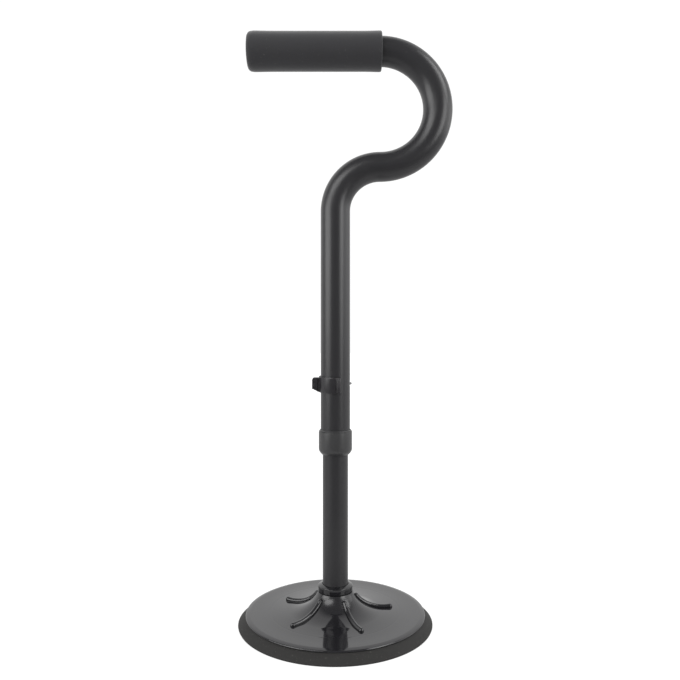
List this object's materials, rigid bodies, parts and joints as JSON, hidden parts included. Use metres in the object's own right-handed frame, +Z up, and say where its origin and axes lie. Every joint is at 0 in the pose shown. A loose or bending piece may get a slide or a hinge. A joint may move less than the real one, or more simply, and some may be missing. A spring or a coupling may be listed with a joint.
{
  "type": "floor standing aid",
  "caption": "Black floor standing aid: offset foam-grip handle on a telescoping shaft with a clip lock, standing on a wide round ribbed base.",
  "frame": {"origin": "on the shaft's axis at the floor, the middle of the rubber foot's underside", "axes": "+Z up along the shaft; the grip points to -X and the hook bulges to +X; the peg runs along X; the picture looks along +Y"},
  "size_m": [0.1601, 0.1442, 0.4414],
  "materials": {
    "foam": "matt black closed-cell foam",
    "matt_plastic": "semi-matt black moulded plastic",
    "satin_paint": "satin black powder coat on aluminium tube",
    "steel": "zinc plated",
    "gloss_plastic": "polished black moulded plastic",
    "rubber": "matt black rubber"
  },
  "bodies": {
    "base": {"rubber_foot": "rubber", "base_plate": "gloss_plastic", "base_screw": "steel", "base_washer": "steel", "foot_nut": "steel", "foot_plug": "matt_plastic", "neck_ring": "gloss_plastic", "lower_tube": "satin_paint", "tube_glide": "matt_plastic"},
    "handle": {"handle_tube": "satin_paint", "handle_end_plug": "matt_plastic", "hand_grip": "foam", "end_bush": "matt_plastic"},
    "clip": {"locking_clip": "matt_plastic", "clip_peg": "steel"}
  },
  "joints": [
    {"name": "height_slide", "type": "slide", "parent": "base", "child": "handle", "axis": [0, 0, 1], "range_m": [-0.0381, 0.0381]},
    {"name": "clip_pull", "type": "slide", "parent": "handle", "child": "clip", "axis": [-1, 0, 0], "range_m": [0, 0.028]}
  ]
}
